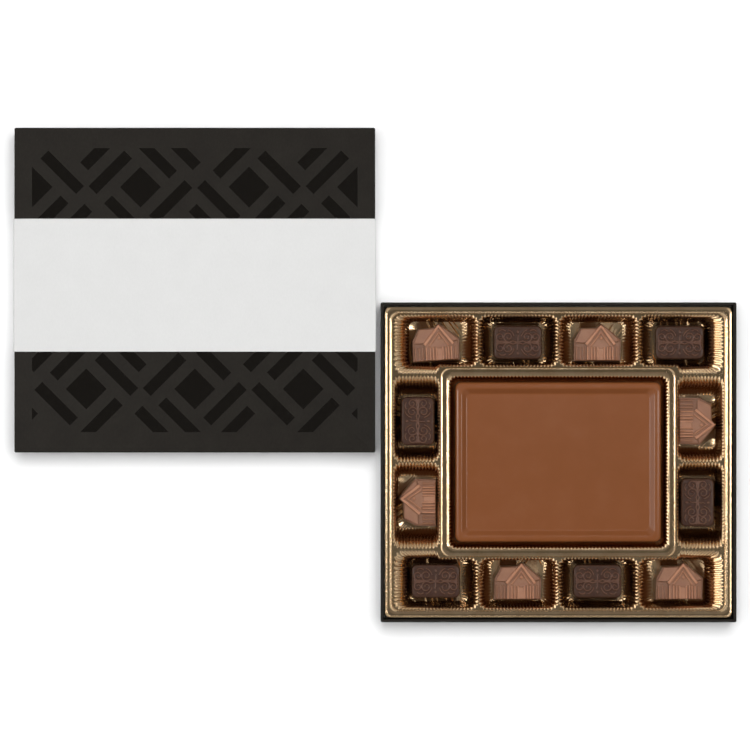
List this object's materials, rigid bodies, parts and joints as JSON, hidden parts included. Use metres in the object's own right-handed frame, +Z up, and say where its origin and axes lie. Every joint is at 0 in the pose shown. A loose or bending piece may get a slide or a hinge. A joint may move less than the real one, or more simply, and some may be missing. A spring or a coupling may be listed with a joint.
{
  "type": "chocolate box",
  "caption": "Rectangular set-up box of chocolates: open base with a gold formed insert, a centre bar and moulded chocolates, and a telescoping lid with a paper band set beside it.",
  "frame": {"origin": "centre of the base's underside", "axes": "+Z up out of the open base, +X to the right along the longer side, +Y to the back"},
  "size_m": [0.3973, 0.2716, 0.0266],
  "materials": {
    "grey_board": "raw grey board",
    "dark_wrap_paper": "matte near-black brown paper",
    "tape_paper": "kraft paper tape",
    "band_paper": "smooth pale paper",
    "gold_formed_sheet": "metallised champagne gold",
    "milk_chocolate": "satin milk chocolate",
    "dark_chocolate": "satin dark chocolate"
  },
  "bodies": {
    "base": {"base_board": "grey_board", "base_wrap": "dark_wrap_paper", "base_corner_stays": "tape_paper"},
    "lid": {"lid_board": "grey_board", "lid_wrap": "dark_wrap_paper", "lid_corner_stays": "tape_paper"},
    "band": {"belly_band": "band_paper"},
    "insert": {"insert_tray": "gold_formed_sheet"},
    "bar": {"centre_bar": "milk_chocolate"},
    "house_chocolate_1": {"house_chocolate_1": "milk_chocolate"},
    "house_chocolate_2": {"house_chocolate_2": "milk_chocolate"},
    "house_chocolate_3": {"house_chocolate_3": "milk_chocolate"},
    "house_chocolate_4": {"house_chocolate_4": "milk_chocolate"},
    "house_chocolate_5": {"house_chocolate_5": "milk_chocolate"},
    "house_chocolate_6": {"house_chocolate_6": "milk_chocolate"},
    "dark_chocolate_1": {"dark_chocolate_1": "dark_chocolate"},
    "dark_chocolate_2": {"dark_chocolate_2": "dark_chocolate"},
    "dark_chocolate_3": {"dark_chocolate_3": "dark_chocolate"},
    "dark_chocolate_4": {"dark_chocolate_4": "dark_chocolate"},
    "dark_chocolate_5": {"dark_chocolate_5": "dark_chocolate"},
    "dark_chocolate_6": {"dark_chocolate_6": "dark_chocolate"}
  },
  "joints": [
    {"name": "lid_lift", "type": "slide", "parent": "base", "child": "lid", "axis": [0, 0, 1], "range_m": [0, 0.08]},
    {"name": "band_slip", "type": "slide", "parent": "lid", "child": "band", "axis": [0, 1, 0], "range_m": [0, 0.125]},
    {"name": "insert_lift", "type": "slide", "parent": "base", "child": "insert", "axis": [0, 0, 1], "range_m": [0, 0.04]},
    {"name": "bar_lift", "type": "slide", "parent": "insert", "child": "bar", "axis": [0, 0, 1], "range_m": [0, 0.03]},
    {"name": "house_chocolate_1_lift", "type": "slide", "parent": "insert", "child": "house_chocolate_1", "axis": [0, 0, 1], "range_m": [0, 0.03]},
    {"name": "house_chocolate_2_lift", "type": "slide", "parent": "insert", "child": "house_chocolate_2", "axis": [0, 0, 1], "range_m": [0, 0.03]},
    {"name": "house_chocolate_3_lift", "type": "slide", "parent": "insert", "child": "house_chocolate_3", "axis": [0, 0, 1], "range_m": [0, 0.03]},
    {"name": "house_chocolate_4_lift", "type": "slide", "parent": "insert", "child": "house_chocolate_4", "axis": [0, 0, 1], "range_m": [0, 0.03]},
    {"name": "house_chocolate_5_lift", "type": "slide", "parent": "insert", "child": "house_chocolate_5", "axis": [0, 0, 1], "range_m": [0, 0.03]},
    {"name": "house_chocolate_6_lift", "type": "slide", "parent": "insert", "child": "house_chocolate_6", "axis": [0, 0, 1], "range_m": [0, 0.03]},
    {"name": "dark_chocolate_1_lift", "type": "slide", "parent": "insert", "child": "dark_chocolate_1", "axis": [0, 0, 1], "range_m": [0, 0.03]},
    {"name": "dark_chocolate_2_lift", "type": "slide", "parent": "insert", "child": "dark_chocolate_2", "axis": [0, 0, 1], "range_m": [0, 0.03]},
    {"name": "dark_chocolate_3_lift", "type": "slide", "parent": "insert", "child": "dark_chocolate_3", "axis": [0, 0, 1], "range_m": [0, 0.03]},
    {"name": "dark_chocolate_4_lift", "type": "slide", "parent": "insert", "child": "dark_chocolate_4", "axis": [0, 0, 1], "range_m": [0, 0.03]},
    {"name": "dark_chocolate_5_lift", "type": "slide", "parent": "insert", "child": "dark_chocolate_5", "axis": [0, 0, 1], "range_m": [0, 0.03]},
    {"name": "dark_chocolate_6_lift", "type": "slide", "parent": "insert", "child": "dark_chocolate_6", "axis": [0, 0, 1], "range_m": [0, 0.03]}
  ]
}
